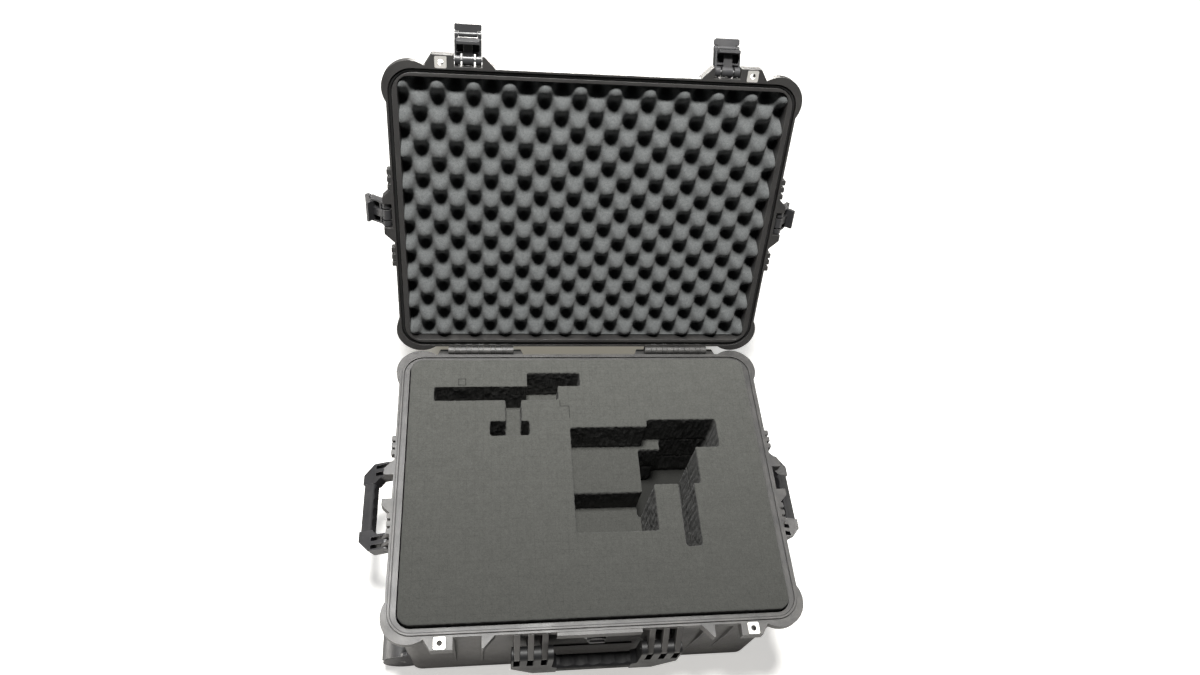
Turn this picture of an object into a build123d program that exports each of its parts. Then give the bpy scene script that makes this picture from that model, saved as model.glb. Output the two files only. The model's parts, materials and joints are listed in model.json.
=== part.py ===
from build123d import *
import os
from math import radians, tan

# Wheeled hard equipment case, open, with cut foam in the base and egg-crate foam in the lid.
# Millimetres. The origin is on the floor, under the centre of the base. +Z is up, the front
# (two latches and the long handle) faces -Y, and the wheels are at the -X end.

os.makedirs("parts", exist_ok=True)

# ------------------------------------------------------------------ driving dimensions
RIM_Z = 240.0            # mating plane of base and lid, above the floor
LID_HEIGHT = 58.0        # lid body above the mating plane, without its stacking ribs
SEAM_GAP = 0.3           # clearance between the two rims when shut
FLANGE_HALF_X = 291.0    # rim flange, half length
FLANGE_HALF_Y = 224.2    # rim flange, half depth
FLANGE_THICK = 12.0
FLANGE_RADIUS = 38.0
MOUTH_HALF_X = 275.5     # clear opening at the rim, half length
MOUTH_HALF_Y = 211.0     # clear opening at the rim, half depth
WALL = 4.0
DRAFT = 1.2              # mould draft of the base walls, degrees
LID_DRAFT = 3.0          # mould draft of the lid walls, degrees
CORNER_RADIUS = 22.0     # vertical corners of the walls, outside
INNER_CORNER = 16.0      # vertical corners of the walls, inside
FOOT = 3.0               # height of the moulded feet
FLOOR_TOP = 24.0         # inside floor of the base

TONGUE_INSET = 4.0       # sealing tongue of the base, in from the flange edge
TONGUE_WIDTH = 2.8
TONGUE_HEIGHT = 2.0
LINE = 0.8               # width and depth of the fine grooves beside the tongue
GROOVE_INSET = 2.8       # seal groove of the lid, in from the flange edge
GROOVE_WIDTH = 5.6
GROOVE_DEPTH = 6.0
SEAL_INSET = 3.6
SEAL_WIDTH = 4.0

HINGE_Y = 231.9          # lid hinge axis, along X
HINGE_X = 163.0          # middle of each hinge, either side of the centre
HINGE_PIN_HALF = 52.0
LID_OPEN = 113.4         # angle the lid stands open at rest
KNUCKLE_RADIUS = 7.4
PIN_RADIUS = 2.5
RUNNING = 0.08           # radial clearance of a turning fit

LATCH_HALF = 18.0        # half width of a latch
LATCH_SLOT_HALF = 19.0   # half width of the gap it works in
LATCH_FRONT_X = 180.0    # front latches, either side of the centre
LATCH_SIDE_Y = -5.0      # side latches
LATCH_PIVOT_OUT = 9.0    # pivot, outside the flange edge
LATCH_PIVOT_UP = 10.0    # pivot, above the mating plane
BARREL = 7.4             # radius of the latch's hinge barrel
EAR_OUT = 16.3           # how far the ears stand out from the flange edge
EAR_THICK = 16.0

PADLOCK_X = 216.5
PADLOCK_Y = -231.0
PADLOCK_RADIUS = 4.0
PLATE_SIZE = 16.0
PLATE_SEAT = PLATE_SIZE + 0.6
PLATE_THICK = 2.0

WHEEL_RADIUS = 31.0
WHEEL_X = -281.0
WHEEL_Y = 183.0
WHEEL_HALF_WIDTH = 13.0
AXLE_RADIUS = 4.0

TUBE_Y = 75.0            # trolley tubes, either side of the centre
TUBE_Z = 13.3

FOAM_GAP = 1.0           # foam to wall
FOAM_CORNER = 18.0
FOAM_PROUD = 9.0         # foam above the rim
CELL = 12.2              # pitch of the pluck-out foam cells


def half_x(z):
    """Half length of the base's inside at height z."""
    return MOUTH_HALF_X - (RIM_Z - z) * tan(radians(DRAFT))


def half_y(z):
    """Half depth of the base's inside at height z."""
    return MOUTH_HALF_Y - (RIM_Z - z) * tan(radians(DRAFT))


def block(x0, x1, y0, y1, z0, z1, frame=Plane.XY, mode=Mode.ADD):
    """A box between two corners in a frame, added to or cut from the part being built."""
    centre = Location(((x0 + x1) / 2, (y0 + y1) / 2, (z0 + z1) / 2))
    with Locations(frame.location * centre):
        Box(x1 - x0, y1 - y0, z1 - z0, mode=mode)


def across(frame):
    """Plane for a profile in a frame's (Y, Z), to be extruded along the frame's X."""
    return Plane(origin=frame.origin, x_dir=frame.y_dir, z_dir=frame.x_dir)


def profile(plane, points, nose=None):
    """A closed outline on a plane, with an optional round nose (x, y, radius)."""
    with BuildSketch(plane) as outline:
        with BuildLine():
            Polyline(*points, close=True)
        make_face()
        if nose:
            with Locations(nose[:2]):
                Circle(nose[2])
    return outline.sketch


def ring(plane, half_length, half_depth, radius, width):
    """A rounded rectangular ring of the given outer size and width."""
    with BuildSketch(plane) as outline:
        RectangleRounded(2 * half_length, 2 * half_depth, radius)
        RectangleRounded(2 * (half_length - width), 2 * (half_depth - width), radius - width,
                         mode=Mode.SUBTRACT)
    return outline.sketch


def rim_ring(plane, inset, width):
    """A ring of the given width that follows the rim flange, in from its edge by inset."""
    return ring(plane, FLANGE_HALF_X - inset, FLANGE_HALF_Y - inset, FLANGE_RADIUS - 1 - inset,
                width)


def rod(frame, radius, start, end, bore=0.0):
    """A round bar or tube along a frame's X axis, from start to end."""
    with BuildSketch(across(frame).offset(start)) as section:
        Circle(radius)
        if bore:
            Circle(bore, mode=Mode.SUBTRACT)
    return extrude(section.sketch, amount=end - start, mode=Mode.PRIVATE)


def save(piece, name):
    """Label a finished piece and write it as its own STEP file."""
    piece.part.label = name
    export_step(piece.part, f"parts/{name}.step")


# ------------------------------------------------------------------ frames of the moving parts
# The lid is drawn as if shut, in base coordinates measured up from the mating plane, on
# planes that carry it to its open rest position.
LID_PLACE = (
    Location((0, HINGE_Y, RIM_Z), (-LID_OPEN, 0, 0))
    * Location((0, -HINGE_Y, SEAM_GAP))
)


def lid_plane(height=0.0):
    """Plane in the lid at a height above the mating plane."""
    return Plane(LID_PLACE).offset(height)


def station(x, y, z, turn, swing=0.0):
    """Location of a part on a wall: X along the wall, Y up, Z outwards, swung out by swing."""
    return Location((x, y, z), (0, 0, turn)) * Location((0, 0, 0), (90 - swing, 0, 0))


LATCH_OUT_Y = FLANGE_HALF_Y + LATCH_PIVOT_OUT
LATCH_OUT_X = FLANGE_HALF_X + LATCH_PIVOT_OUT

# name: (pivot x, pivot y, turn about Z, angle swung open at rest)
LATCHES = {
    "front_left": (-LATCH_FRONT_X, -LATCH_OUT_Y, 0, 92),
    "front_right": (LATCH_FRONT_X, -LATCH_OUT_Y, 0, 114),
    "left": (-LATCH_OUT_X, LATCH_SIDE_Y, -90, 127),
    "right": (LATCH_OUT_X, LATCH_SIDE_Y, 90, 138),
}


def latch_frame(name, swing=None):
    """Frame of a latch at its pivot, in the open lid."""
    x, y, turn, rest = LATCHES[name]
    angle = rest if swing is None else swing
    return Plane(LID_PLACE * station(x, y, LATCH_PIVOT_UP, turn, angle))


HANDLE_PIVOT_Z = 195.0
HANDLE_PIVOT_Y = -240.0
SIDE_PIVOT_Z = 170.0
SIDE_PIVOT_X = 303.0
SIDE_HANDLE_Y = -7.0

# name: (pivot x, y, z, turn about Z, swing at rest, half length, boss inner end, reach,
#        depth of grip, centres of the case's ribs, half width of those ribs)
HANDLES = {
    "front": (0, HANDLE_PIVOT_Y, HANDLE_PIVOT_Z, 0, 0, 120.0, 62.0, 76.0, 25.0,
              (74.5, 94.0, 113.0), 4.0),
    "left": (-SIDE_PIVOT_X, SIDE_HANDLE_Y, SIDE_PIVOT_Z, -90, 69, 70.5, 46.0, 40.0, 20.0,
             (52.5, 64.5), 2.5),
    "right": (SIDE_PIVOT_X, SIDE_HANDLE_Y, SIDE_PIVOT_Z, 90, 69, 70.5, 46.0, 40.0, 20.0,
              (52.5, 64.5), 2.5),
}


def handle_frame(name, swing=None):
    """Frame of a carrying handle at its pivot."""
    x, y, z, turn, rest = HANDLES[name][:5]
    return Plane(station(x, y, z, turn, rest if swing is None else swing))


# ------------------------------------------------------------------ shared outlines
def flange_outline(plane):
    """Rim flange with its four round corner bumpers."""
    bumper_x = 258.5
    bumper_y = 193.5
    bumper_r = 38.0
    with BuildSketch(plane) as outline:
        RectangleRounded(2 * FLANGE_HALF_X, 2 * FLANGE_HALF_Y, FLANGE_RADIUS)
        for side_x in (-1, 1):
            for side_y in (-1, 1):
                corner = [
                    (bumper_x - 16, FLANGE_HALF_Y - 1),
                    (bumper_x - 2, bumper_y + bumper_r),
                    (bumper_x, bumper_y + bumper_r),
                    (bumper_x, bumper_y),
                    (bumper_x + bumper_r, bumper_y),
                    (bumper_x + bumper_r, bumper_y - 3),
                    (FLANGE_HALF_X - 1, bumper_y - 17),
                    (bumper_x - 16, bumper_y - 17),
                ]
                with BuildLine():
                    Polyline(*[(side_x * x, side_y * y) for x, y in corner], close=True)
                make_face()
                with Locations((side_x * bumper_x, side_y * bumper_y)):
                    Circle(bumper_r)
    return outline.sketch


def ear_outlines(plane):
    """Ears that stand out beside every latch: padlock ears and horns in front, pairs at the ends."""
    root = FLANGE_HALF_Y - 3
    tip = FLANGE_HALF_Y + EAR_OUT
    gap_outer = LATCH_FRONT_X + LATCH_SLOT_HALF
    gap_inner = LATCH_FRONT_X - LATCH_SLOT_HALF
    end_root = FLANGE_HALF_X - 3
    end_tip = FLANGE_HALF_X + 14
    with BuildSketch(plane) as outline:
        for side in (-1, 1):
            padlock_ear = [(gap_outer, root), (gap_outer, tip), (228.5, tip), (239, FLANGE_HALF_Y),
                           (239, root)]
            horn = [(gap_inner, root), (gap_inner, tip), (gap_inner - 2.5, tip),
                    (gap_inner - 18, FLANGE_HALF_Y), (gap_inner - 18, root)]
            for points in (padlock_ear, horn):
                with BuildLine():
                    Polyline(*[(side * x, -y) for x, y in points], close=True)
                make_face()
            for along in (-1, 1):
                near = LATCH_SLOT_HALF
                end_ear = [(end_root, near), (end_tip, near), (end_tip, near + 10),
                           (FLANGE_HALF_X, near + 24), (end_root, near + 24)]
                with BuildLine():
                    Polyline(*[(side * x, LATCH_SIDE_Y + along * y) for x, y in end_ear],
                             close=True)
                make_face()
    return outline.sketch


def end_teeth(plane):
    """Grip teeth on the flange ends, three either side of each end latch."""
    with BuildSketch(plane) as outline:
        for side in (-1, 1):
            for along in (-1, 1):
                for step in range(3):
                    with Locations((side * (FLANGE_HALF_X + 1), along * (50.5 + 11.5 * step))):
                        RectangleRounded(9, 8, 1.5)
    return outline.sketch


def knuckle_spans(owner):
    """Spans along X of both hinges' knuckles: five narrow ones on the lid, six on the base."""
    width = {"lid": 8.0, "base": 10.2}
    gap = 0.4
    spans = []
    x = HINGE_X - 52.6
    for index in range(11):
        kind = "base" if index % 2 == 0 else "lid"
        if kind == owner:
            spans.append((x, x + width[kind]))
            spans.append((-x - width[kind], -x))
        x += width[kind] + gap
    return spans


# ------------------------------------------------------------------ base shell
WELL_X = -244.0          # inner face of a wheel well
WELL_TOP = 69.0
WELL_Y0 = 160.0
WELL_Y1 = 206.0
CHANNEL_TOP = 20.5
CHANNEL_HALF_Y = 105.0
CHANNEL_X0 = -205.0
VALVE_Z = 194.0
VALVE_FACE_Y = -216.0
VALVE_RADIUS = 18.5      # flange of the valve body
VALVE_HOLE = 8.0

with BuildPart() as cavity:
    with BuildSketch(Plane.XY.offset(FLOOR_TOP)):
        RectangleRounded(2 * half_x(FLOOR_TOP), 2 * half_y(FLOOR_TOP), INNER_CORNER)
    extrude(amount=RIM_Z + 5 - FLOOR_TOP, taper=-DRAFT)
    for side in (-1, 1):
        y0, y1 = sorted((side * (WELL_Y0 - 3.5), side * 240))
        block(-300, WELL_X + 3.5, y0, y1, 0, WELL_TOP + 3.5, mode=Mode.SUBTRACT)

with BuildPart() as base_shell:
    with BuildSketch(Plane.XY.offset(FOOT)):
        RectangleRounded(2 * (half_x(FOOT) + WALL), 2 * (half_y(FOOT) + WALL), CORNER_RADIUS)
    extrude(amount=RIM_Z - FOOT, taper=-DRAFT)
    extrude(flange_outline(Plane.XY.offset(RIM_Z - FLANGE_THICK)), amount=FLANGE_THICK)
    extrude(ear_outlines(Plane.XY.offset(RIM_Z - EAR_THICK)), amount=EAR_THICK)
    extrude(end_teeth(Plane.XY.offset(RIM_Z - FLANGE_THICK)), amount=FLANGE_THICK)
    # thumb lip in the middle of the front
    block(-59, 59, -FLANGE_HALF_Y - 5, -FLANGE_HALF_Y + 4, RIM_Z - EAR_THICK, RIM_Z - 0.5)
    # sealing tongue on the rim, between two fine grooves
    extrude(rim_ring(Plane.XY.offset(RIM_Z - LINE), TONGUE_INSET - LINE, TONGUE_WIDTH + 2 * LINE),
            amount=2 * LINE, mode=Mode.SUBTRACT)
    extrude(rim_ring(Plane.XY.offset(RIM_Z - 1), TONGUE_INSET, TONGUE_WIDTH),
            amount=TONGUE_HEIGHT + 1)
    # thin stiffening ribs under the ears, fading into the wall near the floor
    wall_y = MOUTH_HALF_Y + WALL
    for x in (160, 200):
        for side in (-1, 1):
            for face in (-1, 1):
                extrude(profile(Plane.YZ.offset(side * x - 1.2), [
                    (face * (wall_y - 8), 36), (face * (wall_y - 4.4), 36),
                    (face * (wall_y + 3.5), 160), (face * (wall_y + 3.5), RIM_Z - FLANGE_THICK + 1),
                    (face * (wall_y - 3), RIM_Z - FLANGE_THICK + 1)]), amount=2.4)
    wall_x = MOUTH_HALF_X + WALL
    for y in (LATCH_SIDE_Y - 20, LATCH_SIDE_Y + 20, -100, 100, 140, -140):
        for side in (-1, 1):
            extrude(profile(Plane.XZ.offset(-y - 2), [
                (side * (wall_x - 8), 40), (side * (wall_x - 4), 40),
                (side * (wall_x + 5), 80), (side * (wall_x + 5), RIM_Z - FLANGE_THICK + 1),
                (side * (wall_x - 3), RIM_Z - FLANGE_THICK + 1)]), amount=4)
    # ledge below the front recess and the flat boss of the pressure valve
    extrude(profile(Plane.YZ.offset(-62), [
        (-wall_y + 6, 112), (-wall_y + 0.3, 117), (-wall_y + 0.3, 121), (-wall_y + 6, 123)]),
        amount=124)
    with BuildSketch(Plane.XZ.offset(-VALVE_FACE_Y)):
        with Locations((0, VALVE_Z)):
            Circle(VALVE_RADIUS + 2)
    extrude(amount=-5)
    # ribs that carry the front handle
    for centre in HANDLES["front"][9]:
        for side in (-1, 1):
            half = HANDLES["front"][10]
            extrude(profile(Plane.YZ.offset(side * centre - half), [
                (-wall_y + 6, RIM_Z - 4), (-FLANGE_HALF_Y - 1, RIM_Z - 4),
                (HANDLE_PIVOT_Y - 8, HANDLE_PIVOT_Z + 4), (HANDLE_PIVOT_Y, HANDLE_PIVOT_Z - 8),
                (-wall_y - 12, HANDLE_PIVOT_Z - 16), (-wall_y + 6, 140)],
                nose=(HANDLE_PIVOT_Y, HANDLE_PIVOT_Z, 9)), amount=2 * half)
    # ribs that carry the end handles
    for centre in HANDLES["left"][9]:
        for along in (-1, 1):
            for side in (-1, 1):
                half = HANDLES["left"][10]
                y = SIDE_HANDLE_Y + along * centre
                extrude(profile(Plane.XZ.offset(-y - half), [
                    (side * (wall_x - 6), 216), (side * (wall_x + 12), 200),
                    (side * (SIDE_PIVOT_X + 7), SIDE_PIVOT_Z + 4),
                    (side * SIDE_PIVOT_X, SIDE_PIVOT_Z - 8),
                    (side * (wall_x + 9), SIDE_PIVOT_Z - 14), (side * (wall_x - 6), 126)],
                    nose=(side * SIDE_PIVOT_X, SIDE_PIVOT_Z, 8)), amount=2 * half)
    # hinge ledges at the back and the base's hinge knuckles
    for side in (-1, 1):
        x0, x1 = sorted((side * 92.0, side * 235.0))
        extrude(profile(Plane.XY.offset(221.5), [
            (x0, 212), (x0, 225), (x0 + 6, 239), (x1 - 6, 239), (x1, 225), (x1, 212)]),
            amount=10.5)
    for x0, x1 in knuckle_spans("base"):
        extrude(profile(Plane.YZ.offset(x0), [
            (221, 231), (HINGE_Y + KNUCKLE_RADIUS, 231), (HINGE_Y + KNUCKLE_RADIUS, RIM_Z),
            (HINGE_Y - KNUCKLE_RADIUS, RIM_Z - 1), (221, RIM_Z - 1)],
            nose=(HINGE_Y, RIM_Z, KNUCKLE_RADIUS)), amount=x1 - x0)
    add(cavity.part, mode=Mode.SUBTRACT)
    # wheel wells, open below and at the end
    for side in (-1, 1):
        y0, y1 = sorted((side * WELL_Y0, side * WELL_Y1))
        block(-330, WELL_X, y0, y1, -5, WELL_TOP, mode=Mode.SUBTRACT)
    # channel for the trolley tubes, open at the right-hand end
    block(CHANNEL_X0, 300, -CHANNEL_HALF_Y, CHANNEL_HALF_Y, -5, CHANNEL_TOP, mode=Mode.SUBTRACT)
    block(255, 300, -95, 95, -5, FLOOR_TOP - 3.2, mode=Mode.SUBTRACT)
    # lightening pockets between the ribs under the floor
    for side in (-1, 1):
        for column in range(6):
            x = 16 + 84 * (column - 2.5)
            block(x - 39, x + 39, side * 155 - 38, side * 155 + 38, -5, CHANNEL_TOP,
                  mode=Mode.SUBTRACT)
    # feet
    for x in (-205, 225):
        for side in (-1, 1):
            with Locations((x, side * 199, FOOT / 2)):
                Box(58, 12, FOOT)
    # screw posts of the trolley cover
    for x in (-190, -50, 90, 230):
        for side in (-1, 1):
            block(x - 5, x + 5, side * 99 - 5, side * 99 + 5, 6.3, CHANNEL_TOP)
            with Locations((x, side * 99, 11.3)):
                Cylinder(1.5, 10, mode=Mode.SUBTRACT)
    # saddles that hold the fixed trolley tubes
    for x in (-198, 20, 240):
        for side in (-1, 1):
            block(x - 4, x + 4, side * TUBE_Y - 11, side * TUBE_Y + 11, 6.3, CHANNEL_TOP)
            with Locations(Location((x, side * TUBE_Y, TUBE_Z), (0, 90, 0))):
                Cylinder(6.8, 10, mode=Mode.SUBTRACT)
    # seats of the padlock plates, with clearance under the plates' own holes
    for side in (-1, 1):
        with Locations((side * PADLOCK_X, PADLOCK_Y, RIM_Z - PLATE_THICK / 2)):
            Box(PLATE_SEAT, PLATE_SEAT, PLATE_THICK, mode=Mode.SUBTRACT)
        with Locations((side * PADLOCK_X, PADLOCK_Y, RIM_Z - EAR_THICK / 2)):
            Cylinder(PADLOCK_RADIUS + 1.4, EAR_THICK + 4, mode=Mode.SUBTRACT)
    # holes for the valve stem, the handle pins and the hinge pins
    with Locations(Location((0, VALVE_FACE_Y, VALVE_Z), (90, 0, 0))):
        Cylinder(VALVE_HOLE, 30, mode=Mode.SUBTRACT)
    for side in (-1, 1):
        x0 = 0 if side > 0 else -140
        add(rod(handle_frame("front", 0), PIN_RADIUS, x0, x0 + 140), mode=Mode.SUBTRACT)
    for name in ("left", "right"):
        add(rod(handle_frame(name, 0), PIN_RADIUS, -80, 80), mode=Mode.SUBTRACT)
    for side in (-1, 1):
        hinge_line = Plane(Location((side * HINGE_X, HINGE_Y, RIM_Z)))
        add(rod(hinge_line, PIN_RADIUS, -60, 60), mode=Mode.SUBTRACT)
save(base_shell, "base_shell")


# ------------------------------------------------------------------ small parts of the base
with BuildPart() as hinge_pins:
    for side in (-1, 1):
        hinge_line = Plane(Location((side * HINGE_X, HINGE_Y, RIM_Z)))
        add(rod(hinge_line, PIN_RADIUS, -HINGE_PIN_HALF, HINGE_PIN_HALF))
save(hinge_pins, "hinge_pins")

with BuildPart() as handle_pins:
    for side in (-1, 1):
        x0, x1 = sorted((side * 67.0, side * 119.5))
        add(rod(handle_frame("front", 0), PIN_RADIUS, x0, x1))
        for name in ("left", "right"):
            x0, x1 = sorted((side * 47.0, side * 70.0))
            add(rod(handle_frame(name, 0), PIN_RADIUS, x0, x1))
save(handle_pins, "handle_pins")


def padlock_plates(frame, face, inward):
    """Stainless wear plates round the padlock holes, let into the mating faces."""
    low, high = sorted((face, face + inward * PLATE_THICK))
    with BuildPart() as plates:
        for side in (-1, 1):
            with BuildSketch(frame.offset(low)):
                with Locations((side * PADLOCK_X, PADLOCK_Y)):
                    RectangleRounded(PLATE_SIZE, PLATE_SIZE, 2)
                    Circle(PADLOCK_RADIUS, mode=Mode.SUBTRACT)
            extrude(amount=high - low)
    return plates


padlock_plates_base = padlock_plates(Plane.XY, RIM_Z, -1)
save(padlock_plates_base, "padlock_plates_base")


# ------------------------------------------------------------------ pressure valve
valve_frame = Plane(station(0, VALVE_FACE_Y, VALVE_Z, 0))
SEAL_THICK = 1.4
VALVE_FLANGE = 3.4
VALVE_STEM = 4.0
KNOB_RADIUS = 13.5

with BuildPart() as valve_seal:
    with BuildSketch(valve_frame):
        Circle(15)
        Circle(9, mode=Mode.SUBTRACT)
    extrude(amount=SEAL_THICK)
save(valve_seal, "valve_seal")

with BuildPart() as valve_body:
    with BuildSketch(valve_frame.offset(SEAL_THICK)):
        Circle(VALVE_RADIUS)
    extrude(amount=VALVE_FLANGE)
    chamfer(valve_body.edges().filter_by(GeomType.CIRCLE), 0.8)
    with BuildSketch(valve_frame.offset(SEAL_THICK + 1)):
        Circle(VALVE_HOLE - 0.02)
    extrude(amount=-7.0)
    with BuildSketch(valve_frame.offset(SEAL_THICK)):
        Circle(VALVE_STEM)
    extrude(amount=VALVE_FLANGE + 5)
save(valve_body, "valve_body")

with BuildPart() as valve_knob:
    with BuildSketch(valve_frame.offset(SEAL_THICK + VALVE_FLANGE + 0.2)):
        Circle(KNOB_RADIUS)
        with PolarLocations(KNOB_RADIUS + 0.2, 24):
            Circle(1.0, mode=Mode.SUBTRACT)
    extrude(amount=6)
    with BuildSketch(valve_frame.offset(SEAL_THICK + VALVE_FLANGE + 5)):
        SlotOverall(2 * KNOB_RADIUS - 4, 7)
    extrude(amount=3.8)
    with BuildSketch(valve_frame.offset(SEAL_THICK + VALVE_FLANGE)):
        Circle(VALVE_STEM + RUNNING)
    extrude(amount=5.3, mode=Mode.SUBTRACT)
save(valve_knob, "valve_knob")


# ------------------------------------------------------------------ wheels
WHEEL_Z = WHEEL_RADIUS


def wheel_frame(side):
    """Frame at a wheel's centre, with X along the axle."""
    return Plane(Location((WHEEL_X, side * WHEEL_Y, WHEEL_Z), (0, 0, 90)))


def wheel_housing(side):
    """Two cheeks, a fender and a back wall that sit in a wheel well of the base."""
    middle = side * WHEEL_Y
    back = WELL_X - 0.5
    with BuildPart() as housing:
        for cheek in (middle - 22, middle + 17):
            with BuildSketch(Plane.XZ.offset(-cheek - 5)):
                with Locations((WHEEL_X, WHEEL_Z)):
                    Circle(30)
                with BuildLine():
                    Polyline((WHEEL_X - 8, 4), (back, 4), (back, WELL_TOP - 1),
                             (WHEEL_X + 2, WELL_TOP - 1), (WHEEL_X - 16, 56), close=True)
                make_face()
            extrude(amount=5)
            with Locations(Location((WHEEL_X, cheek + 2.5, WHEEL_Z), (90, 0, 0))):
                Cylinder(AXLE_RADIUS, 12, mode=Mode.SUBTRACT)
        with BuildSketch(Plane.XZ.offset(-middle - 22)):
            with Locations((WHEEL_X, WHEEL_Z)):
                Circle(34.6)
                Circle(32.2, mode=Mode.SUBTRACT)
            with BuildLine():
                Polyline((WHEEL_X, WHEEL_Z), (WHEEL_X - 60, WHEEL_Z + 34),
                         (WHEEL_X - 60, WHEEL_Z + 60), (WHEEL_X + 60, WHEEL_Z + 60),
                         (WHEEL_X + 60, WHEEL_Z - 25), close=True)
            make_face(mode=Mode.INTERSECT)
        extrude(amount=44)
    return housing


def tyre(side):
    """Solid polyurethane tyre with rounded shoulders and three grooves."""
    frame = wheel_frame(side)
    with BuildPart() as ring_part:
        add(rod(frame, WHEEL_RADIUS, -WHEEL_HALF_WIDTH, WHEEL_HALF_WIDTH))
        fillet(ring_part.edges(), 4)
        for groove in (-6, 0, 6):
            add(rod(frame, WHEEL_RADIUS + 1, groove - 0.8, groove + 0.8, WHEEL_RADIUS - 1.2),
                mode=Mode.SUBTRACT)
        add(rod(frame, 23, -20, 20), mode=Mode.SUBTRACT)
    return ring_part


def wheel_hub(side):
    """Spoked hub with seats for two bearings."""
    frame = wheel_frame(side)
    with BuildPart() as hub:
        add(rod(frame, 23, -12, 12, 19.5))
        add(rod(frame, 20, -3, 3, 10))
        with BuildSketch(across(frame).offset(-5)):
            with PolarLocations(15.2, 6):
                Circle(3.2)
        extrude(amount=10, mode=Mode.SUBTRACT)
        add(rod(frame, 11.5, -14, 14, 9))
    return hub


def wheel_bearings(side):
    """Plain flanged bushes between the hub and its axle."""
    frame = wheel_frame(side)
    with BuildPart() as bearings:
        for start, end in ((-14, -4), (4, 14)):
            add(rod(frame, 9, start, end, AXLE_RADIUS + RUNNING))
        for start, end in ((-15.2, -14), (14, 15.2)):
            add(rod(frame, 10.5, start, end, AXLE_RADIUS + RUNNING))
    return bearings


for end_name, side in (("front", -1), ("rear", 1)):
    save(wheel_housing(side), f"wheel_housing_{end_name}")
    save(tyre(side), f"tyre_{end_name}")
    save(wheel_hub(side), f"wheel_hub_{end_name}")
    save(wheel_bearings(side), f"wheel_bearings_{end_name}")

with BuildPart() as wheel_axles:
    for side in (-1, 1):
        add(rod(wheel_frame(side), AXLE_RADIUS, -21.8, 21.8))
save(wheel_axles, "wheel_axles")


# ------------------------------------------------------------------ trolley handle
def tube_pair(radius, bore, x0, x1):
    """A pair of parallel tubes along X."""
    with BuildPart() as tubes:
        for side in (-1, 1):
            add(rod(Plane(Location((0, side * TUBE_Y, TUBE_Z))), radius, x0, x1, bore))
    return tubes


OUTER_RADIUS = 6.8
MIDDLE_RADIUS = OUTER_RADIUS - 0.9 - RUNNING
INNER_RADIUS = MIDDLE_RADIUS - 0.8 - RUNNING
GRIP_X0 = 257.0
GRIP_X1 = 274.5

save(tube_pair(OUTER_RADIUS, OUTER_RADIUS - 0.9, -202, 248), "trolley_outer_tubes")
save(tube_pair(MIDDLE_RADIUS, MIDDLE_RADIUS - 0.8, -200, 251), "trolley_middle_tubes")
save(tube_pair(INNER_RADIUS, INNER_RADIUS - 1.2, -198, GRIP_X0 + 4), "trolley_inner_tubes")

with BuildPart() as trolley_grip:
    block(GRIP_X0, GRIP_X1, -92, 92, 4.6, 20)
    fillet(trolley_grip.edges().filter_by(Axis.Z), 5)
    fillet(trolley_grip.edges().filter_by(Axis.Y), 3)
    for side in (-1, 1):
        tube_line = Plane(Location((0, side * TUBE_Y, TUBE_Z)))
        add(rod(tube_line, INNER_RADIUS, GRIP_X0 - 5, GRIP_X0 + 4), mode=Mode.SUBTRACT)
    block(GRIP_X1 - 7, GRIP_X1 + 5, -18.3, 18.3, 8.2, 16.8, mode=Mode.SUBTRACT)
save(trolley_grip, "trolley_grip")

with BuildPart() as trolley_button:
    block(GRIP_X1 - 2.8, GRIP_X1 + 1.2, -18, 18, 8.5, 16.5)
    fillet(trolley_button.edges().filter_by(Axis.X), 3.5)
save(trolley_button, "trolley_button")

COVER_Z0 = 3.3
COVER_Z1 = 6.2
SCREWS = [(x, side * 99) for x in (-190, -50, 90, 230) for side in (-1, 1)]

with BuildPart() as trolley_cover:
    block(CHANNEL_X0 + 1, 254, -CHANNEL_HALF_Y + 1, CHANNEL_HALF_Y - 1, COVER_Z0, COVER_Z1)
    for row in range(-4, 5):
        block(CHANNEL_X0 + 24, 210, row * 18 - 2, row * 18 + 2, 0, COVER_Z0 + 1)
    for x, y in SCREWS:
        with Locations((x, y, COVER_Z0 + 1)):
            Cylinder(3.4, 2.1, mode=Mode.SUBTRACT)
        with Locations((x, y, COVER_Z0 + 2)):
            Cylinder(1.6, 8, mode=Mode.SUBTRACT)
save(trolley_cover, "trolley_cover")

with BuildPart() as trolley_screws:
    for x, y in SCREWS:
        with Locations((x, y, COVER_Z0 + 1.15)):
            Cylinder(3.2, 1.7)
        with Locations((x, y, COVER_Z0 + 6.5)):
            Cylinder(1.5, 10)
        with Locations((x, y, COVER_Z0 + 0.4)):
            Box(4.4, 0.9, 1.0, mode=Mode.SUBTRACT)
            Box(0.9, 4.4, 1.0, mode=Mode.SUBTRACT)
save(trolley_screws, "trolley_screws")


# ------------------------------------------------------------------ base foam
# Layers from the floor up. Pockets are plucked cell by cell: each is given by its left and
# front edge and its size in cells.
TOP_Z0 = 178.0
MIDDLE_Z0 = 117.0
LOWER_Z0 = 56.0
PAD_Z0 = FLOOR_TOP + 0.5

SMALL_POCKETS = [
    (-236, 133.6, 12, 2),
    (-90, 158, 7, 2),
    (-90, 133.6, 4, 2),
    (-149, 71.5, 2, 2),
    (-100.2, 71.5, 1, 2),
]
SHALLOW_POCKET = (-124.6, 71.5, 2, 5.09)
SHALLOW_DEPTH = 32.0
LARGE_POCKET = [
    (-25, -88, 10, 14),
    (97, 46.2, 9.2, 4),
    (97, -14.8, 6, 5),
    (135, -112.4, 2, 8),
]
LARGE_POCKET_BELOW = [
    (-25, -88, 10, 7.4),
    (92, -14.8, 6.4, 7.5),
    (129, 46.2, 6.6, 4),
    (135, -112.4, 2, 8),
]
DEEPEST_POCKET = [
    (92, -14.8, 6.4, 7.5),
    (129, 46.2, 6.6, 4),
]


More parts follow.
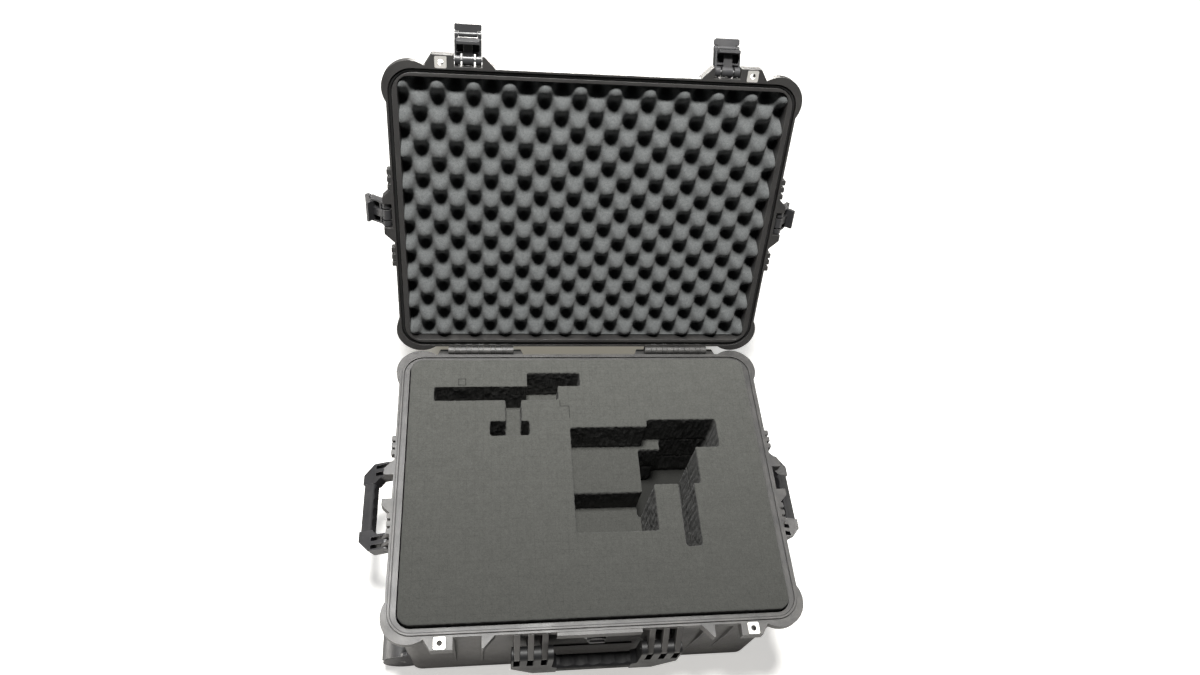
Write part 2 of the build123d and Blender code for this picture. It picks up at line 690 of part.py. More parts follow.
def foam_layer(z0, z1, pockets):
    """One foam sheet that fills the base from z0 to z1, with pockets right through it."""
    with BuildPart() as sheet:
        with BuildSketch(Plane.XY.offset(z0)):
            RectangleRounded(2 * (half_x(z0) - FOAM_GAP), 2 * (half_y(z0) - FOAM_GAP),
                             FOAM_CORNER)
        extrude(amount=z1 - z0)
        for x, y, columns, rows in pockets:
            block(x, x + columns * CELL, y, y + rows * CELL, z0 - 1, z1 + 1, mode=Mode.SUBTRACT)
        # room for the wheel wells, which stand up inside the base
        if z0 < WELL_TOP + 5:
            for side in (-1, 1):
                y0, y1 = sorted((side * (WELL_Y0 - 5), side * 230))
                block(-300, WELL_X + 5, y0, y1, 0, WELL_TOP + 5, mode=Mode.SUBTRACT)
    return sheet


foam_pad = foam_layer(PAD_Z0, LOWER_Z0, [])
save(foam_pad, "foam_pad")
foam_lower = foam_layer(LOWER_Z0, MIDDLE_Z0, DEEPEST_POCKET)
save(foam_lower, "foam_lower")
foam_middle = foam_layer(MIDDLE_Z0, TOP_Z0, LARGE_POCKET_BELOW)
save(foam_middle, "foam_middle")

with BuildPart() as foam_top:
    add(foam_layer(TOP_Z0, RIM_Z + FOAM_PROUD, SMALL_POCKETS + LARGE_POCKET).part)
    x, y, columns, rows = SHALLOW_POCKET
    block(x, x + columns * CELL, y, y + rows * CELL, RIM_Z + FOAM_PROUD - SHALLOW_DEPTH,
          RIM_Z + FOAM_PROUD + 1, mode=Mode.SUBTRACT)
save(foam_top, "foam_top")


# ------------------------------------------------------------------ lid
LID_TOP = 4.0

with BuildPart() as lid_cavity:
    with BuildSketch(lid_plane()):
        RectangleRounded(2 * MOUTH_HALF_X, 2 * MOUTH_HALF_Y, INNER_CORNER)
    extrude(amount=LID_HEIGHT - LID_TOP, taper=LID_DRAFT)

with BuildPart() as lid_shell:
    with BuildSketch(lid_plane()):
        RectangleRounded(2 * (MOUTH_HALF_X + WALL), 2 * (MOUTH_HALF_Y + WALL), CORNER_RADIUS)
    extrude(amount=LID_HEIGHT, taper=LID_DRAFT)
    fillet(lid_shell.faces().sort_by(Axis((0, 0, 0), lid_plane().z_dir))[-1].edges(), 9)
    extrude(flange_outline(lid_plane()), amount=FLANGE_THICK)
    extrude(ear_outlines(lid_plane()), amount=EAR_THICK)
    extrude(end_teeth(lid_plane()), amount=FLANGE_THICK)
    # low walls behind the latch barrels
    for name in LATCHES:
        block(-LATCH_SLOT_HALF - 1, LATCH_SLOT_HALF + 1, -LATCH_PIVOT_UP,
              EAR_THICK - LATCH_PIVOT_UP, -LATCH_PIVOT_OUT - 2, -BARREL - 0.3,
              latch_frame(name, 0))
    # stacking ribs on the outside
    for x in (-LATCH_FRONT_X, -60, 60, LATCH_FRONT_X):
        with BuildSketch(lid_plane(LID_HEIGHT - 2)):
            with Locations((x, 0)):
                RectangleRounded(44, 350, 8)
        extrude(amount=6, taper=12)
    # rib columns on the end and front walls
    for x in (160, 200):
        for side in (-1, 1):
            for face in (-1, 1):
                extrude(profile(across(lid_plane()).offset(side * x - 2), [
                    (face * 211, FLANGE_THICK - 1), (face * 222, FLANGE_THICK - 1),
                    (face * 216, 44), (face * 209, 44)]), amount=4)
    add(lid_cavity.part, mode=Mode.SUBTRACT)
    # groove for the seal
    extrude(rim_ring(lid_plane(-1), GROOVE_INSET, GROOVE_WIDTH), amount=GROOVE_DEPTH + 1,
            mode=Mode.SUBTRACT)
    # hinge knuckles
    for x0, x1 in knuckle_spans("lid"):
        extrude(profile(across(lid_plane()).offset(x0), [
            (221, 2), (HINGE_Y, -SEAM_GAP), (HINGE_Y + 2, KNUCKLE_RADIUS - 1), (221, 11)],
            nose=(HINGE_Y, -SEAM_GAP, KNUCKLE_RADIUS)), amount=x1 - x0)
    for side in (-1, 1):
        hinge_line = Plane(Location((side * HINGE_X, HINGE_Y, RIM_Z)))
        add(rod(hinge_line, PIN_RADIUS + RUNNING, -60, 60), mode=Mode.SUBTRACT)
    # latch pin holes in the ears
    for name in LATCHES:
        add(rod(latch_frame(name, 0), PIN_RADIUS, -24, 24), mode=Mode.SUBTRACT)
    # seats of the padlock plates, with clearance over the plates' own holes
    for side in (-1, 1):
        spot = LID_PLACE * Location((side * PADLOCK_X, PADLOCK_Y, PLATE_THICK / 2))
        with Locations(spot):
            Box(PLATE_SEAT, PLATE_SEAT, PLATE_THICK, mode=Mode.SUBTRACT)
            Cylinder(PADLOCK_RADIUS + 1.4, 3 * EAR_THICK, mode=Mode.SUBTRACT)
save(lid_shell, "lid_shell")

with BuildPart() as lid_seal:
    extrude(rim_ring(lid_plane(TONGUE_HEIGHT + 0.1), SEAL_INSET, SEAL_WIDTH), amount=3.6)
    fillet(lid_seal.edges(), 1.2)
save(lid_seal, "lid_seal")

padlock_plates_lid = padlock_plates(lid_plane(), 0, 1)
save(padlock_plates_lid, "padlock_plates_lid")

FOAM_FACE = FOAM_PROUD + 0.6
with BuildPart() as lid_foam:
    inset = FOAM_GAP + FOAM_FACE * tan(radians(LID_DRAFT))
    with BuildSketch(lid_plane(FOAM_FACE)):
        RectangleRounded(2 * (MOUTH_HALF_X - inset), 2 * (MOUTH_HALF_Y - inset), INNER_CORNER)
    extrude(amount=LID_HEIGHT - LID_TOP - FOAM_FACE, taper=LID_DRAFT)
save(lid_foam, "lid_foam")

with BuildPart() as latch_pins:
    for name in LATCHES:
        add(rod(latch_frame(name, 0), PIN_RADIUS, -23.8, 23.8))
save(latch_pins, "latch_pins")


# ------------------------------------------------------------------ latches
LEVER_Y = -32.0          # lever pivot, down the latch
LEVER_Z = 5.0
LEVER_PIN = 1.5


def lever_line(name):
    """Frame at a latch's lever pivot."""
    return Plane(latch_frame(name).location * Location((0, LEVER_Y, LEVER_Z)))


def latch_arm(name):
    """Over-centre arm: barrel on the lid's pin, outer plate, hook bar and lever cheeks."""
    frame = latch_frame(name)
    section = across(frame)
    with BuildPart() as arm:
        add(rod(frame, BARREL, -LATCH_HALF, LATCH_HALF))
        extrude(profile(section.offset(-LATCH_HALF), [
            (0, 2.6), (0, BARREL), (-6, 8), (-27.8, 8), (-27.8, 3.5), (-8, 3.5)]),
            amount=2 * LATCH_HALF)
        # hook bar that catches under the base flange
        extrude(profile(section.offset(-15), [
            (-23, -15.5), (-23.4, -8), (-22, 4), (-27.5, 4), (-28.5, -2), (-28.5, -8),
            (-27, -15.5)]), amount=30)
        # cheeks for the lever, bridge and inner ribs
        for side in (-1, 1):
            x0, x1 = sorted((side * 13, side * LATCH_HALF))
            block(x0, x1, LEVER_Y, -24, 1.2, 8, frame)
            add(rod(lever_line(name), 3.9, x0, x1))
            x0, x1 = sorted((side * 15.5, side * LATCH_HALF))
            block(x0, x1, -27, -4, -4, 4, frame)
        block(-6, 6, -22.5, -4, -5.5, 4, frame)
        block(-16, 16, -11, -8.5, -4, 4, frame)
        for side in (-1, 1):
            block(side * 9 - 1.2, side * 9 + 1.2, -8, 8, -8, 8, frame, mode=Mode.SUBTRACT)
        add(rod(frame, PIN_RADIUS + RUNNING, -20, 20), mode=Mode.SUBTRACT)
        add(rod(lever_line(name), LEVER_PIN, -20, 20), mode=Mode.SUBTRACT)
    return arm


def latch_lever(name):
    """Pull lever at the end of the arm, with a tab as wide as the latch."""
    line = lever_line(name)
    with BuildPart() as lever:
        add(rod(line, 3.6, -12.6, 12.6))
        block(-12.6, 12.6, -8, 0, -2.4, 2.6, line)
        with BuildSketch(line.offset(-2.4)):
            with Locations((0, -9)):
                RectangleRounded(2 * LATCH_HALF, 9, 2.5)
        extrude(amount=5.0)
        for row in range(3):
            block(-13, 13, -12.2 + 2.6 * row, -11.2 + 2.6 * row, 1.6, 3, line,
                  mode=Mode.SUBTRACT)
        add(rod(line, LEVER_PIN + 0.07, -20, 20), mode=Mode.SUBTRACT)
    return lever


for name in LATCHES:
    save(latch_arm(name), f"latch_arm_{name}")
    save(latch_lever(name), f"latch_lever_{name}")
    with BuildPart() as lever_pin:
        add(rod(lever_line(name), LEVER_PIN, -17.5, 17.5))
    save(lever_pin, f"latch_lever_pin_{name}")


# ------------------------------------------------------------------ carrying handles
HANDLE_HALF_THICK = 10.0
RUBBER = 2.5


def mirrored(points):
    """A right-hand outline from top to bottom, closed by its mirror image in the Y axis."""
    return points + [(-x, y) for x, y in reversed(points)]


def handle_body(name):
    """Moulded handle with ribbed ends that straddle the case's ribs."""
    half, boss, reach, grip, ribs, rib_half = HANDLES[name][5:]
    frame = handle_frame(name)
    cut = 0.42 * reach
    rubber_half = boss - 8
    slot_depth = 28 if name == "front" else 20
    with BuildPart() as body:
        with BuildSketch(frame.offset(-HANDLE_HALF_THICK)):
            with BuildLine():
                Polyline(*mirrored([(half, 0), (half, cut - reach), (half - cut, -reach)]),
                         close=True)
            make_face()
            with BuildLine():
                Polyline(*mirrored([(boss, 1), (boss, grip + 8 - reach), (boss - 8, grip - reach)]),
                         close=True)
            make_face(mode=Mode.SUBTRACT)
        extrude(amount=2 * HANDLE_HALF_THICK)
        fillet(body.edges().filter_by(Axis((0, 0, 0), frame.z_dir)), 3)
        block(-rubber_half, rubber_half, -reach - 1, grip - reach + 1, -11, 11, frame,
              mode=Mode.SUBTRACT)
        block(-rubber_half - 1, rubber_half + 1, RUBBER - reach, grip - reach - RUBBER,
              RUBBER - HANDLE_HALF_THICK, HANDLE_HALF_THICK - RUBBER, frame)
        for side in (-1, 1):
            x0, x1 = sorted((side * boss, side * half))
            add(rod(frame, HANDLE_HALF_THICK, x0, x1))
            for rib in ribs:
                slot = rib_half + 0.5
                block(side * rib - slot, side * rib + slot, -slot_depth, 11, -11, 11, frame,
                      mode=Mode.SUBTRACT)
        add(rod(frame, PIN_RADIUS + RUNNING, -half - 1, half + 1), mode=Mode.SUBTRACT)
    return body


def handle_rubber(name):
    """Soft sleeve over the handle's bar, with finger waves on the inner side."""
    half, boss, reach, grip = HANDLES[name][5:9]
    frame = handle_frame(name)
    rubber_half = boss - 8
    fingers = 5 if name == "front" else 4
    pitch = 2 * (rubber_half - 4) / fingers
    with BuildPart() as sleeve:
        with BuildSketch(across(frame).offset(-rubber_half)):
            with Locations((grip / 2 - reach, 0)):
                RectangleRounded(grip, 2 * HANDLE_HALF_THICK, 7)
                Rectangle(grip - 2 * RUBBER, 2 * (HANDLE_HALF_THICK - RUBBER),
                          mode=Mode.SUBTRACT)
        extrude(amount=2 * rubber_half)
        for finger in range(fingers):
            x = (finger - (fingers - 1) / 2) * pitch
            spot = frame.location * Location((x, grip - reach + 23.2, 0))
            with Locations(spot):
                Cylinder(25, 30, mode=Mode.SUBTRACT)
    return sleeve


for name in HANDLES:
    save(handle_body(name), f"handle_{name}")
    save(handle_rubber(name), f"handle_rubber_{name}")
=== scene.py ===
import json
import math

import bpy
import numpy as np
from mathutils import Euler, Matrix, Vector, noise


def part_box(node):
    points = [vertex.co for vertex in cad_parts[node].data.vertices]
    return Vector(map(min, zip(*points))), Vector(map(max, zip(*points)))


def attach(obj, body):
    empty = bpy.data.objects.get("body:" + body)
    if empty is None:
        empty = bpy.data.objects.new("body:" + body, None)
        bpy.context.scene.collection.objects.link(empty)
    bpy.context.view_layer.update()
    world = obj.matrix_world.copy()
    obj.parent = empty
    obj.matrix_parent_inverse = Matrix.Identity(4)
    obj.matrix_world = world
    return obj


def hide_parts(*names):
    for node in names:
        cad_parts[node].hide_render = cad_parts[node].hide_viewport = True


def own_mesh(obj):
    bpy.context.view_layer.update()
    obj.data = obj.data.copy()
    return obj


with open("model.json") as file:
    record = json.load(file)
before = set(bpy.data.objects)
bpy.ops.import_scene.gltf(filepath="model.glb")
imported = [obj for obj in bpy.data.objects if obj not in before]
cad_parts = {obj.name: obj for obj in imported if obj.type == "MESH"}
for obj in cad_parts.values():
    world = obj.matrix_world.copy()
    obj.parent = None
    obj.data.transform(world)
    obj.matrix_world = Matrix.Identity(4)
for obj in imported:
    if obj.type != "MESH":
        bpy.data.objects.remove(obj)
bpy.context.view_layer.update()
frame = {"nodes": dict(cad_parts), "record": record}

RIM_Z = 0.240            # the mating plane of base and lid
CELL = 0.0122            # pitch of the pluck-out cells of the base foam
CELL_X = -0.025          # a cell line along Y passes through this x
CELL_Y = -0.088          # a cell line along X passes through this y
CUT_X, CUT_Y = 0.262, 0.200      # upright foam faces inside this box are plucked walls
EDGE_RADIUS = 0.0008     # rounding of the hard parts' edges in their materials
DUST = (0.30, 0.28, 0.25)
RUBBER_DUST = (0.26, 0.25, 0.23)

LID_GAP = 0.0003         # between the mating planes when the lid is shut
LID_HINGE = Vector((0, 0.2319, RIM_Z))
LID_OPEN = math.radians(113.4)
LID_TURN = Euler((-LID_OPEN, 0, 0)).to_matrix()
LID_UP = LID_TURN @ Vector((0, 0, 1))


def in_lid(x, y, height):
    """A point of the shut lid, measured up from the mating plane, carried to the open lid."""
    return LID_HINGE + LID_TURN @ Vector((x, y - LID_HINGE.y, height + LID_GAP))


# ------------------------------------------------------------------ material helpers
class Finish:
    """A procedural material: a Principled surface with the nodes that drive it."""

    def __init__(self, name):
        self.material = bpy.data.materials.new(name)
        self.material.use_nodes = True
        self.tree = self.material.node_tree
        self.tree.nodes.clear()
        output = self.tree.nodes.new("ShaderNodeOutputMaterial")
        self.surface = self.tree.nodes.new("ShaderNodeBsdfPrincipled")
        self.tree.links.new(self.surface.outputs[0], output.inputs[0])
        self.place = self.tree.nodes.new("ShaderNodeTexCoord").outputs["Object"]

    def put(self, socket, value):
        """Link a node's output, or set a plain value."""
        if isinstance(value, bpy.types.NodeSocket):
            self.tree.links.new(value, socket)
        else:
            socket.default_value = value

    def math(self, operation, a, b=0.0):
        """One arithmetic step on one or two values."""
        node = self.tree.nodes.new("ShaderNodeMath")
        node.operation = operation
        self.put(node.inputs[0], a)
        self.put(node.inputs[1], b)
        return node.outputs[0]

    def scaled(self, factors):
        """The object coordinates stretched by a factor per axis."""
        node = self.tree.nodes.new("ShaderNodeVectorMath")
        node.operation = "MULTIPLY"
        self.put(node.inputs[0], self.place)
        node.inputs[1].default_value = factors
        return node.outputs[0]

    def noise(self, scale, detail, rough, where=None):
        """Cloudy noise, 0 to 1."""
        node = self.tree.nodes.new("ShaderNodeTexNoise")
        self.put(node.inputs["Vector"], where or self.place)
        node.inputs["Scale"].default_value = scale
        node.inputs["Detail"].default_value = detail
        node.inputs["Roughness"].default_value = rough
        return node.outputs["Fac"]

    def cells(self, scale):
        """Distance from the centres of randomly placed cells."""
        node = self.tree.nodes.new("ShaderNodeTexVoronoi")
        self.put(node.inputs["Vector"], self.place)
        node.inputs["Scale"].default_value = scale
        return node.outputs["Distance"]

    def spread(self, value, low, high, to_low, to_high):
        """Map a range of a value to another range."""
        node = self.tree.nodes.new("ShaderNodeMapRange")
        self.put(node.inputs["Value"], value)
        for name, number in (("From Min", low), ("From Max", high),
                             ("To Min", to_low), ("To Max", to_high)):
            node.inputs[name].default_value = number
        return node.outputs[0]

    def blend(self, factor, dark, light):
        """A colour between two colours, or between two nodes' outputs."""
        node = self.tree.nodes.new("ShaderNodeMix")
        node.data_type = "RGBA"
        self.put(node.inputs["Factor"], factor)
        for name, colour in (("A", dark), ("B", light)):
            socket = [s for s in node.inputs if s.name == name and s.type == "RGBA"][0]
            if isinstance(colour, bpy.types.NodeSocket):
                self.tree.links.new(colour, socket)
            else:
                socket.default_value = (*colour, 1.0)
        return [s for s in node.outputs if s.type == "RGBA"][0]

    def bump(self, height, strength, distance, under=None):
        """A normal that follows a height, laid over another normal if one is given."""
        node = self.tree.nodes.new("ShaderNodeBump")
        node.inputs["Strength"].default_value = strength
        node.inputs["Distance"].default_value = distance
        self.put(node.inputs["Height"], height)
        if under:
            self.tree.links.new(under, node.inputs["Normal"])
        return node.outputs[0]

    def edge(self, radius):
        """A normal that is rounded over sharp edges."""
        node = self.tree.nodes.new("ShaderNodeBevel")
        node.samples = 4
        node.inputs["Radius"].default_value = radius
        return node.outputs[0]

    def crevice(self, reach):
        """A mask of the corners and gaps, from ambient occlusion, where shade is painted."""
        node = self.tree.nodes.new("ShaderNodeAmbientOcclusion")
        node.samples = 6
        node.inputs["Distance"].default_value = reach
        return self.spread(node.outputs["AO"], 0.25, 0.85, 1.0, 0.0)

    def ridge(self, rounded):
        """A mask of the sharp edges, from a rounded normal."""
        geometry = self.tree.nodes.new("ShaderNodeNewGeometry")
        node = self.tree.nodes.new("ShaderNodeVectorMath")
        node.operation = "DOT_PRODUCT"
        self.tree.links.new(geometry.outputs["Normal"], node.inputs[0])
        self.tree.links.new(rounded, node.inputs[1])
        return self.spread(node.outputs["Value"], 0.75, 0.99, 1.0, 0.0)

    def depth(self, origin, direction):
        """Distance of a surface from a plane through origin, along direction."""
        node = self.tree.nodes.new("ShaderNodeVectorMath")
        node.operation = "DOT_PRODUCT"
        self.tree.links.new(self.place, node.inputs[0])
        node.inputs[1].default_value = direction
        return self.math("SUBTRACT", node.outputs["Value"], Vector(origin).dot(direction))

    def upward(self):
        """How far a surface faces up, 0 to 1."""
        geometry = self.tree.nodes.new("ShaderNodeNewGeometry")
        split = self.tree.nodes.new("ShaderNodeSeparateXYZ")
        self.tree.links.new(geometry.outputs["Normal"], split.inputs[0])
        return self.spread(split.outputs["Z"], 0.3, 1.0, 0.0, 1.0)

    def split(self):
        """The object coordinates as separate X, Y and Z outputs."""
        node = self.tree.nodes.new("ShaderNodeSeparateXYZ")
        self.tree.links.new(self.place, node.inputs[0])
        return node.outputs

    def finish(self, colour, roughness, normal, **more):
        """Set the surface's inputs and hand back the material."""
        self.put(self.surface.inputs["Base Color"], colour)
        self.put(self.surface.inputs["Roughness"], roughness)
        self.put(self.surface.inputs["Normal"], normal)
        for name, value in more.items():
            self.put(self.surface.inputs[name.replace("_", " ")], value)
        return self.material


def moulded(name, dark, light, rough, grain, depth, dust=0.05, marks=()):
    """Moulded plastic: textured grain, uneven tone, scuffs, dust, painted shade in crevices and from
    its marks, and worn edges with a painted highlight.
    """
    f = Finish(name)
    tone = f.noise(11, 4, 0.6)
    colour = f.blend(f.spread(tone, 0.35, 0.65, 0, 1), dark, light)
    streak = f.noise(34, 5, 0.7, f.scaled((5.0, 0.8, 1.0)))
    colour = f.blend(f.spread(streak, 0.64, 0.78, 0, 0.35), colour, [3 * c for c in light])
    settle = f.math("MULTIPLY", f.upward(), f.spread(f.noise(60, 5, 0.65), 0.4, 0.75, 0, dust))
    colour = f.blend(settle, colour, DUST)
    # painted shade: corners and gaps are darkened by the crevice mask
    crevice_shade = f.math("MULTIPLY", f.crevice(0.045), 0.80)
    colour = f.blend(crevice_shade, colour, [0.2 * c for c in dark])
    rounded = f.edge(EDGE_RADIUS)
    # painted highlight along the sharp edges, together with edge wear
    wear_and_highlight = f.math("MULTIPLY", f.ridge(rounded), f.spread(f.noise(75, 3, 0.6), 0.3, 0.6, 0.25, 0.7))
    colour = f.blend(wear_and_highlight, colour, [2.6 * c for c in light])
    gloss = 0.5              # a mark dulls the surface as well as darkening it
    # each mark paints shade: it darkens the colour and dulls the gloss
    for mark in marks:
        shade = mark(f)
        colour = f.blend(shade, colour, [0.20 * c for c in dark])
        gloss = f.math("MULTIPLY", f.math("SUBTRACT", 1.0, shade), gloss)
    shine = f.spread(f.noise(23, 5, 0.6), 0.3, 0.7, rough - 0.06, rough + 0.08)
    normal = f.bump(f.noise(grain, 3, 0.6), depth, 0.0004, rounded)
    normal = f.bump(f.noise(40, 2, 0.5), 0.10, 0.001, normal)
    return f.finish(colour, shine, normal, Specular_IOR_Level=gloss)


def foam(name, dark, light, pore, marks=()):
    """Open-cell foam: fine pores, mottled tone and a soft fuzz."""
    f = Finish(name)
    fine = f.noise(pore, 4, 0.75)
    grain = f.noise(0.45 * pore, 3, 0.8)
    mottle = f.noise(55, 4, 0.6)
    mix = f.math("ADD", f.math("MULTIPLY", fine, 0.35), f.math("MULTIPLY", mottle, 0.15))
    mix = f.math("ADD", mix, f.math("MULTIPLY", grain, 0.50))
    colour = f.blend(f.spread(mix, 0.32, 0.68, 0, 1), dark, light)
    pores = f.spread(f.cells(pore * 0.9), 0.0, 0.42, 0.55, 0.0)
    colour = f.blend(pores, colour, [0.4 * c for c in dark])
    # each mark darkens the foam: the cuts between its cells are real, the other marks are painted
    # shade
    for mark in marks:
        colour = f.blend(mark(f), colour, [0.30 * c for c in dark])
    normal = f.bump(f.cells(pore * 0.9), 0.35, 0.0010)
    normal = f.bump(fine, 0.45, 0.0012, normal)
    return f.finish(colour, 1.0, normal, Sheen_Weight=0.15, Sheen_Roughness=0.6,
                    Specular_IOR_Level=0.1)


def metal(name, dark, light, rough, brush, metallic=1.0):
    """Metal with brush lines and a slightly uneven tone."""
    f = Finish(name)
    lines = f.noise(brush, 4, 0.7, f.scaled((1.0, 14.0, 14.0)))
    colour = f.blend(f.spread(lines, 0.35, 0.65, 0, 1), dark, light)
    shine = f.spread(f.noise(90, 4, 0.6), 0.3, 0.7, rough - 0.05, rough + 0.10)
    return f.finish(colour, shine, f.bump(lines, 0.12, 0.0003), Metallic=metallic)


def rubber(name, dark, light, rough, pebble):
    """Soft rubber with a pebbled skin."""
    f = Finish(name)
    colour = f.blend(f.spread(f.noise(18, 4, 0.6), 0.35, 0.65, 0, 1), dark, light)
    wear_and_highlight = f.math("MULTIPLY", f.upward(), f.spread(f.noise(80, 5, 0.7), 0.45, 0.8, 0, 0.04))
    colour = f.blend(wear_and_highlight, colour, RUBBER_DUST)
    normal = f.bump(f.cells(pebble), 0.30, 0.0005)
    normal = f.bump(f.noise(60, 3, 0.5), 0.12, 0.0010, normal)
    shine = f.spread(f.noise(30, 4, 0.6), 0.3, 0.7, rough - 0.08, rough + 0.08)
    return f.finish(colour, shine, normal, Specular_IOR_Level=0.2)


def cell_line(axis, origin, width, strength):
    """Mark for one family of the faint cuts between the foam's pluck-out cells."""
    def mark(f):
        along = f.math("DIVIDE", f.math("SUBTRACT", f.split()[axis], origin), CELL)
        away = f.math("ABSOLUTE", f.math("SUBTRACT", f.math("FRACT", along), 0.5))
        line = f.spread(away, 0.5 - width, 0.5, 0, strength)
        broken = f.spread(f.noise(70, 3, 0.6), 0.42, 0.62, 0.15, 1.0)
        return f.math("MULTIPLY", line, broken)
    return mark


def slit(x0, y0, x1, y1):
    """Mark for one open cut in the top of the base foam, between two points."""
    def mark(f):
        place = f.split()
        inside = 1.0
        for axis, a, b in (("X", x0, x1), ("Y", y0, y1)):
            middle, reach = (a + b) / 2, abs(b - a) / 2 + 0.0007
            away = f.math("ABSOLUTE", f.math("SUBTRACT", place[axis], middle))
            near = f.spread(away, reach - 0.0004, reach + 0.0003, 1, 0)
            inside = f.math("MULTIPLY", near, inside)
        top = f.math("GREATER_THAN", place["Z"], RIM_Z)
        return f.math("MULTIPLY", f.math("MULTIPLY", inside, top), 0.75)
    return mark


def upright_wall_shade(f):
    """Mark for the torn upright walls: painted shade that makes them darker than the skin of the
    foam.
    """
    geometry = f.tree.nodes.new("ShaderNodeNewGeometry")
    split = f.tree.nodes.new("ShaderNodeSeparateXYZ")
    f.tree.links.new(geometry.outputs["True Normal"], split.inputs[0])
    return f.spread(f.math("ABSOLUTE", split.outputs["Z"]), 0.2, 0.7, 0.62, 0.0)


def front_shade(f):
    """Mark that paints shade on the skin of the base foam, darker towards the front."""
    return f.spread(f.depth((0, 0, 0), (0, 1, 0)), -0.21, 0.20, 0.50, 0.0)


def deep_pocket_shade(f):
    """Mark that paints shade on the bottom of the deepest pocket."""
    return f.spread(f.depth((0, 0, 0), (0, 0, 1)), 0.060, 0.112, 0.92, 0.0)


def below_skin_shade(f):
    """Mark that paints shade on everything below the skin, a little darker the deeper it lies."""
    return f.spread(f.depth((0, 0, 0), (0, 0, 1)), 0.176, 0.240, 0.16, 0.0)


def lip_shade(f):
    """Mark that paints shade on the middle of the front wall, from the thumb lip down to the foot."""
    place = f.split()
    across = f.spread(f.math("ABSOLUTE", place["X"]), 0.066, 0.090, 0.70, 0.0)
    below = f.spread(place["Z"], 0.221, 0.226, 1.0, 0.0)
    front = f.spread(place["Y"], -0.200, -0.190, 1.0, 0.0)
    return f.math("MULTIPLY", across, f.math("MULTIPLY", below, front))


def hollow_shade(f):
    """Mark that paints shade on the lid foam towards the bottoms of its hollows."""
    return f.spread(f.depth(in_lid(0, 0, 0), LID_UP), 0.013, 0.026, 0.0, 0.85)


CUTS = [
    cell_line("X", CELL_X, 0.045, 0.30),
    cell_line("Y", CELL_Y, 0.045, 0.30),
    # a loosened cell, and cuts running off the small pockets
    slit(-0.198, 0.161, -0.187, 0.161),
    slit(-0.198, 0.172, -0.187, 0.172),
    slit(-0.198, 0.161, -0.198, 0.172),
    slit(-0.187, 0.161, -0.187, 0.172),
    slit(-0.039, 0.131, -0.039, 0.121),
    slit(-0.039, 0.121, -0.025, 0.121),
    slit(-0.025, 0.121, -0.025, 0.100),
]

FINISHES = {
    "shell": moulded("shell", (0.026, 0.025, 0.025), (0.038, 0.037, 0.036), 0.44, 1500, 0.5, 0.10,
                     [lip_shade]),
    "black_plastic": moulded("black_plastic", (0.024, 0.024, 0.025), (0.036, 0.036, 0.038),
                             0.38, 1900, 0.3),
    "latch": moulded("latch", (0.032, 0.032, 0.034), (0.048, 0.048, 0.050), 0.34, 2200, 0.2),
    "handle": moulded("handle", (0.012, 0.012, 0.013), (0.020, 0.020, 0.022), 0.30, 1900, 0.25, 0.02),
    # a darker, duller copy of the handle finish: its darker colour is painted shade
    "shaded_front_handle": moulded("shaded_front_handle", (0.010, 0.010, 0.011), (0.017, 0.017, 0.018),
                            0.48, 1900, 0.25, 0.02),
    "grip_rubber": rubber("grip_rubber", (0.008, 0.008, 0.009), (0.014, 0.014, 0.015), 0.62, 900),
    "base_foam": foam("base_foam", (0.070, 0.071, 0.066), (0.132, 0.134, 0.125), 620,
                      [upright_wall_shade, front_shade, deep_pocket_shade, below_skin_shade] + CUTS),
    "lid_foam": foam("lid_foam", (0.072, 0.076, 0.077), (0.150, 0.157, 0.159), 520, [hollow_shade]),
    "seal": rubber("seal", (0.010, 0.010, 0.010), (0.018, 0.018, 0.018), 0.55, 1400),
    "stainless": metal("stainless", (0.62, 0.60, 0.57), (0.84, 0.82, 0.78), 0.42, 260, 0.55),
    "steel": metal("steel", (0.20, 0.20, 0.20), (0.32, 0.32, 0.32), 0.48, 320),
    "tube": metal("tube", (0.52, 0.52, 0.53), (0.66, 0.66, 0.67), 0.32, 420),
    "tyre": rubber("tyre", (0.020, 0.020, 0.020), (0.034, 0.034, 0.034), 0.58, 700),
    "grey_nylon": moulded("grey_nylon", (0.13, 0.13, 0.135), (0.18, 0.18, 0.185), 0.42, 1600, 0.3),
    "bush": moulded("bush", (0.38, 0.37, 0.33), (0.48, 0.47, 0.43), 0.35, 1800, 0.2),
}

SLOTS = {part["node"]: part["material_slot"] for part in frame["record"]["subparts"]}
# the front handle's own finish paints its shade into a darker colour
OWN_FINISH = {"handle_front": "shaded_front_handle"}    # duller than the end handles
for node, thing in frame["nodes"].items():
    thing.data.materials.clear()
    thing.data.materials.append(FINISHES[OWN_FINISH.get(node, SLOTS[node])])


# ------------------------------------------------------------------ soft pieces
def add_piece(name, mesh, body, slot_name, stands_for):
    """A soft piece that rides on a body and replaces a CAD node."""
    piece = bpy.data.objects.new(name, mesh)
    bpy.context.scene.collection.objects.link(piece)
    mesh.materials.clear()
    mesh.materials.append(FINISHES[slot_name])
    for polygon in mesh.polygons:
        polygon.use_smooth = True
    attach(piece, body)
    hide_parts(stands_for)
    return piece


def softened(node, voxel):
    """A CAD solid as an evenly meshed block with slightly rounded edges."""
    source = frame["nodes"][node]
    work = bpy.data.objects.new("work", source.data.copy())
    bpy.context.scene.collection.objects.link(work)
    remesh = work.modifiers.new("even", "REMESH")
    remesh.mode = "VOXEL"
    remesh.voxel_size = voxel
    smooth = work.modifiers.new("soft", "SMOOTH")
    smooth.factor = 0.5
    smooth.iterations = 1
    evaluated = work.evaluated_get(bpy.context.evaluated_depsgraph_get())
    mesh = bpy.data.meshes.new_from_object(evaluated)
    bpy.data.objects.remove(work)
    return mesh


